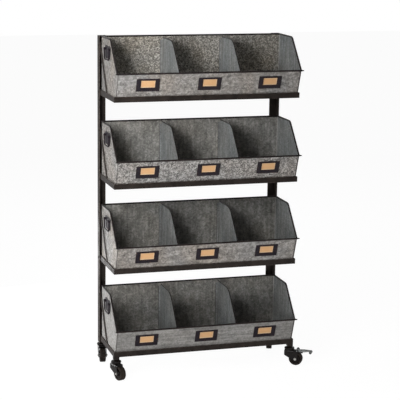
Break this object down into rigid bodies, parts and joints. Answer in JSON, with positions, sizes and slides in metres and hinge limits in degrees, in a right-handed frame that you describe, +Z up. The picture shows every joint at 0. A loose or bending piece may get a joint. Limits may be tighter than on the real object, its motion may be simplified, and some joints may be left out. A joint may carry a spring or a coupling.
{
  "type": "bin cart",
  "caption": "Rolling display cart with slope-front galvanised bins in angle-iron shelves on rear uprights, with dividers, card holders, drop handles and braked swivel casters.",
  "frame": {"origin": "on the floor, under the middle of the frame's footprint (between the front rails' front face and the uprights' rear face, and between the side rails)", "axes": "+X to the right as seen from the front, +Y to the back, towards the uprights, +Z up"},
  "size_m": [0.7722, 0.3049, 1.2282],
  "materials": {
    "frame_paint": "dark bronze-black paint with a brown sheen, satin",
    "galvanised": "dull galvanised sheet with fine spangle and warm and cool mottling",
    "blackened_steel": "blackened steel, satin, a little rusty at the edges",
    "wheel_rubber": "black rubber, semi-gloss sides and a duller brownish tread",
    "zinc_plate": "zinc-plated steel, dull",
    "label_card": "plain tan card in the label holders"
  },
  "bodies": {
    "frame": {"upright_left": "frame_paint", "upright_right": "frame_paint", "shelf_frame_bottom": "frame_paint", "shelf_frame_lower": "frame_paint", "shelf_frame_upper": "frame_paint", "shelf_frame_top": "frame_paint"},
    "bin_bottom": {"bin_bottom": "galvanised", "divider_bottom_left": "galvanised", "divider_bottom_right": "galvanised", "label_holder_bottom_left": "blackened_steel", "label_holder_bottom_middle": "blackened_steel", "label_holder_bottom_right": "blackened_steel", "handle_plate_bottom_left": "blackened_steel", "handle_plate_bottom_right": "blackened_steel"},
    "bail_bottom_left": {"handle_bail_bottom_left": "blackened_steel"},
    "bail_bottom_right": {"handle_bail_bottom_right": "blackened_steel"},
    "bin_lower": {"bin_lower": "galvanised", "divider_lower_left": "galvanised", "divider_lower_right": "galvanised", "label_holder_lower_left": "blackened_steel", "label_holder_lower_middle": "blackened_steel", "label_holder_lower_right": "blackened_steel", "handle_plate_lower_left": "blackened_steel", "handle_plate_lower_right": "blackened_steel"},
    "bail_lower_left": {"handle_bail_lower_left": "blackened_steel"},
    "bail_lower_right": {"handle_bail_lower_right": "blackened_steel"},
    "bin_upper": {"bin_upper": "galvanised", "divider_upper_left": "galvanised", "divider_upper_right": "galvanised", "label_holder_upper_left": "blackened_steel", "label_holder_upper_middle": "blackened_steel", "label_holder_upper_right": "blackened_steel", "handle_plate_upper_left": "blackened_steel", "handle_plate_upper_right": "blackened_steel"},
    "bail_upper_left": {"handle_bail_upper_left": "blackened_steel"},
    "bail_upper_right": {"handle_bail_upper_right": "blackened_steel"},
    "bin_top": {"bin_top": "galvanised", "divider_top_left": "galvanised", "divider_top_right": "galvanised", "label_holder_top_left": "blackened_steel", "label_holder_top_middle": "blackened_steel", "label_holder_top_right": "blackened_steel", "handle_plate_top_left": "blackened_steel", "handle_plate_top_right": "blackened_steel"},
    "bail_top_left": {"handle_bail_top_left": "blackened_steel"},
    "bail_top_right": {"handle_bail_top_right": "blackened_steel"},
    "caster_front_left": {"caster_fork_front_left": "frame_paint", "caster_axle_front_left": "zinc_plate"},
    "wheel_front_left": {"caster_wheel_front_left": "wheel_rubber"},
    "caster_front_right": {"caster_fork_front_right": "frame_paint", "caster_axle_front_right": "zinc_plate"},
    "wheel_front_right": {"caster_wheel_front_right": "wheel_rubber"},
    "pedal_front_right": {"brake_pedal_front_right": "zinc_plate"},
    "caster_rear_left": {"caster_fork_rear_left": "frame_paint", "caster_axle_rear_left": "zinc_plate"},
    "wheel_rear_left": {"caster_wheel_rear_left": "wheel_rubber"},
    "caster_rear_right": {"caster_fork_rear_right": "frame_paint", "caster_axle_rear_right": "zinc_plate"},
    "wheel_rear_right": {"caster_wheel_rear_right": "wheel_rubber"},
    "pedal_rear_right": {"brake_pedal_rear_right": "zinc_plate"}
  },
  "joints": [
    {"name": "bin_bottom_lift", "type": "slide", "parent": "frame", "child": "bin_bottom", "axis": [0, 0, 1], "range_m": [0, 0.06]},
    {"name": "bail_bottom_left_swing", "type": "hinge", "parent": "bin_bottom", "child": "bail_bottom_left", "pos_m": [-0.34605, -0.012, 0.25878], "axis": [0, 1, 0], "range_deg": [0, 90]},
    {"name": "bail_bottom_right_swing", "type": "hinge", "parent": "bin_bottom", "child": "bail_bottom_right", "pos_m": [0.34605, -0.012, 0.25878], "axis": [0, -1, 0], "range_deg": [0, 90]},
    {"name": "bin_lower_lift", "type": "slide", "parent": "frame", "child": "bin_lower", "axis": [0, 0, 1], "range_m": [0, 0.06]},
    {"name": "bail_lower_left_swing", "type": "hinge", "parent": "bin_lower", "child": "bail_lower_left", "pos_m": [-0.34605, -0.012, 0.56858], "axis": [0, 1, 0], "range_deg": [0, 90]},
    {"name": "bail_lower_right_swing", "type": "hinge", "parent": "bin_lower", "child": "bail_lower_right", "pos_m": [0.34605, -0.012, 0.56858], "axis": [0, -1, 0], "range_deg": [0, 90]},
    {"name": "bin_upper_lift", "type": "slide", "parent": "frame", "child": "bin_upper", "axis": [0, 0, 1], "range_m": [0, 0.06]},
    {"name": "bail_upper_left_swing", "type": "hinge", "parent": "bin_upper", "child": "bail_upper_left", "pos_m": [-0.34605, -0.012, 0.87838], "axis": [0, 1, 0], "range_deg": [0, 90]},
    {"name": "bail_upper_right_swing", "type": "hinge", "parent": "bin_upper", "child": "bail_upper_right", "pos_m": [0.34605, -0.012, 0.87838], "axis": [0, -1, 0], "range_deg": [0, 90]},
    {"name": "bin_top_lift", "type": "slide", "parent": "frame", "child": "bin_top", "axis": [0, 0, 1], "range_m": [0, 0.25]},
    {"name": "bail_top_left_swing", "type": "hinge", "parent": "bin_top", "child": "bail_top_left", "pos_m": [-0.34605, -0.012, 1.18818], "axis": [0, 1, 0], "range_deg": [0, 90]},
    {"name": "bail_top_right_swing", "type": "hinge", "parent": "bin_top", "child": "bail_top_right", "pos_m": [0.34605, -0.012, 1.18818], "axis": [0, -1, 0], "range_deg": [0, 90]},
    {"name": "caster_front_left_swivel", "type": "hinge", "parent": "frame", "child": "caster_front_left", "pos_m": [-0.335, -0.116, 0.07228], "axis": [0, 0, 1], "continuous": true},
    {"name": "wheel_front_left_roll", "type": "hinge", "parent": "caster_front_left", "child": "wheel_front_left", "pos_m": [-0.32645, -0.13949, 0.02578], "axis": [0.9397, 0.342, 0], "continuous": true},
    {"name": "caster_front_right_swivel", "type": "hinge", "parent": "frame", "child": "caster_front_right", "pos_m": [0.335, -0.116, 0.07228], "axis": [0, 0, 1], "continuous": true},
    {"name": "wheel_front_right_roll", "type": "hinge", "parent": "caster_front_right", "child": "wheel_front_right", "pos_m": [0.3562, -0.12925, 0.02578], "axis": [0.5299, 0.848, 0], "continuous": true},
    {"name": "brake_front_right_press", "type": "hinge", "parent": "caster_front_right", "child": "pedal_front_right", "pos_m": [0.36129, -0.13243, 0.05828], "axis": [0.5299, 0.848, 0], "range_deg": [0, 7]},
    {"name": "caster_rear_left_swivel", "type": "hinge", "parent": "frame", "child": "caster_rear_left", "pos_m": [-0.3353, 0.113, 0.07228], "axis": [0, 0, 1], "continuous": true},
    {"name": "wheel_rear_left_roll", "type": "hinge", "parent": "caster_rear_left", "child": "wheel_rear_left", "pos_m": [-0.33878, 0.08824, 0.02578], "axis": [0.9903, -0.1392, 0], "continuous": true},
    {"name": "caster_rear_right_swivel", "type": "hinge", "parent": "frame", "child": "caster_rear_right", "pos_m": [0.3353, 0.113, 0.07228], "axis": [0, 0, 1], "continuous": true},
    {"name": "wheel_rear_right_roll", "type": "hinge", "parent": "caster_rear_right", "child": "wheel_rear_right", "pos_m": [0.32675, 0.08951, 0.02578], "axis": [0.9397, -0.342, 0], "continuous": true},
    {"name": "brake_rear_right_press", "type": "hinge", "parent": "caster_rear_right", "child": "pedal_rear_right", "pos_m": [0.3247, 0.08387, 0.05828], "axis": [0.9397, -0.342, 0], "range_deg": [0, 7]}
  ]
}
